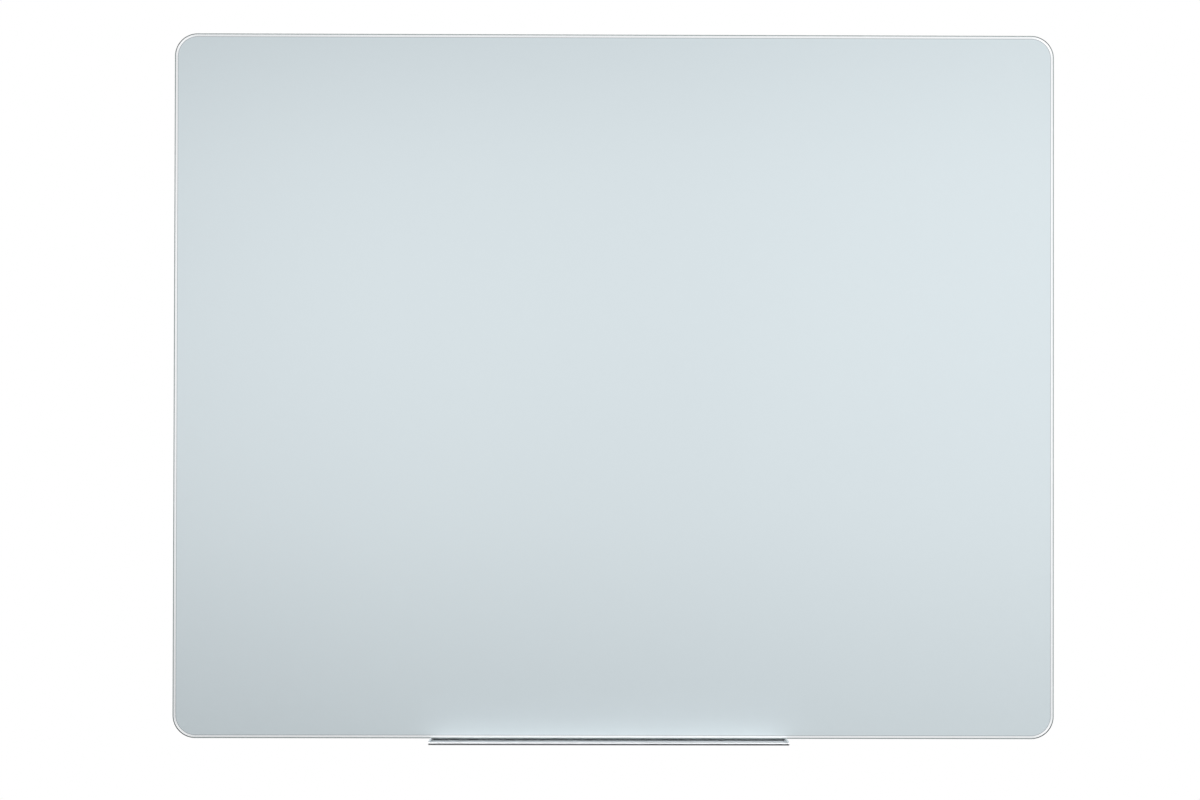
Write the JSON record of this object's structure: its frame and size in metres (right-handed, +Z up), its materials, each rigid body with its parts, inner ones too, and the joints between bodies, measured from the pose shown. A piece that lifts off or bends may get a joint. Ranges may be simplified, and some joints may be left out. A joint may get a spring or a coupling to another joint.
{
  "type": "glass whiteboard",
  "caption": "Frameless magnetic glass writing board with rounded corners, hung on a hidden wall rail by adjustable hooks, with a sliding aluminium pen tray below",
  "frame": {"origin": "middle of the wall rail's flat back face, on the wall plane", "axes": "+X along the board to the right as it is read, +Y into the wall, +Z up; the board faces -Y"},
  "size_m": [1.5, 0.1304, 1.205],
  "materials": {
    "low_iron_glass": "polished clear glass, ground edge",
    "white_film": "plain white, seen through the glass",
    "zinc_coated_steel": "matt zinc coating",
    "mill_aluminium": "plain extruded",
    "anodised_aluminium": "satin anodised, fine lengthwise grain",
    "grey_moulding": "fine moulded texture",
    "cast_zinc": "die-cast zinc, as cast",
    "plated_steel": "bright zinc plating",
    "grey_nylon": "plain nylon",
    "black_rubber": "matt"
  },
  "bodies": {
    "wall_mount": {"wall_plug_1": "grey_nylon", "wall_plug_2": "grey_nylon", "wall_plug_3": "grey_nylon", "wall_plug_4": "grey_nylon", "wall_rail": "mill_aluminium", "wall_screw_1": "plated_steel", "wall_screw_2": "plated_steel", "wall_screw_3": "plated_steel", "wall_screw_4": "plated_steel", "wall_washer_1": "plated_steel", "wall_washer_2": "plated_steel", "wall_washer_3": "plated_steel", "wall_washer_4": "plated_steel"},
    "board": {"bottom_left_across_screw": "plated_steel", "bottom_left_corner": "grey_moulding", "bottom_left_upright_screw": "plated_steel", "bottom_right_across_screw": "plated_steel", "bottom_right_corner": "grey_moulding", "bottom_right_upright_screw": "plated_steel", "centre_stiffener": "zinc_coated_steel", "frame_bottom_rail": "mill_aluminium", "frame_left_stile": "mill_aluminium", "frame_right_stile": "mill_aluminium", "frame_top_rail": "mill_aluminium", "glass_panel": "low_iron_glass", "left_hanger_block": "cast_zinc", "left_hanger_inner_screw": "plated_steel", "left_hanger_outer_screw": "plated_steel", "left_wall_bumper": "black_rubber", "right_hanger_block": "cast_zinc", "right_hanger_inner_screw": "plated_steel", "right_hanger_outer_screw": "plated_steel", "right_wall_bumper": "black_rubber", "steel_backing_sheet": "zinc_coated_steel", "top_left_across_screw": "plated_steel", "top_left_corner": "grey_moulding", "top_left_upright_screw": "plated_steel", "top_right_across_screw": "plated_steel", "top_right_corner": "grey_moulding", "top_right_upright_screw": "plated_steel", "white_backing_film": "white_film"},
    "pen_tray_assembly": {"left_slot_nut": "plated_steel", "left_tray_cap": "grey_moulding", "left_tray_clamp_screw": "plated_steel", "pen_tray": "anodised_aluminium", "right_slot_nut": "plated_steel", "right_tray_cap": "grey_moulding", "right_tray_clamp_screw": "plated_steel"},
    "left_hook": {"left_hanging_hook": "plated_steel"},
    "left_level_screw": {"left_levelling_screw": "plated_steel"},
    "right_hook": {"right_hanging_hook": "plated_steel"},
    "right_level_screw": {"right_levelling_screw": "plated_steel"}
  },
  "joints": [
    {"name": "board_lift", "type": "slide", "parent": "wall_mount", "child": "board", "axis": [0, 0, 1], "range_m": [0, 0.015]},
    {"name": "tray_slide", "type": "slide", "parent": "board", "child": "pen_tray_assembly", "axis": [1, 0, 0], "range_m": [-0.416, 0.433]},
    {"name": "left_hook_slide", "type": "slide", "parent": "board", "child": "left_hook", "axis": [0, 0, 1], "range_m": [0, 0.007]},
    {"name": "left_level_screw_turn", "type": "hinge", "parent": "board", "child": "left_level_screw", "pos_m": [-0.45, -0.0125, 0.0358], "axis": [0, 0, 1], "range_deg": [-3600, 0]},
    {"name": "right_hook_slide", "type": "slide", "parent": "board", "child": "right_hook", "axis": [0, 0, 1], "range_m": [0, 0.007]},
    {"name": "right_level_screw_turn", "type": "hinge", "parent": "board", "child": "right_level_screw", "pos_m": [0.45, -0.0125, 0.0358], "axis": [0, 0, 1], "range_deg": [-3600, 0]}
  ],
  "couplings": [
    {"joint": "left_level_screw_turn", "follows": "left_hook_slide", "rad_per_m": -8976},
    {"joint": "right_level_screw_turn", "follows": "right_hook_slide", "rad_per_m": -8976}
  ]
}
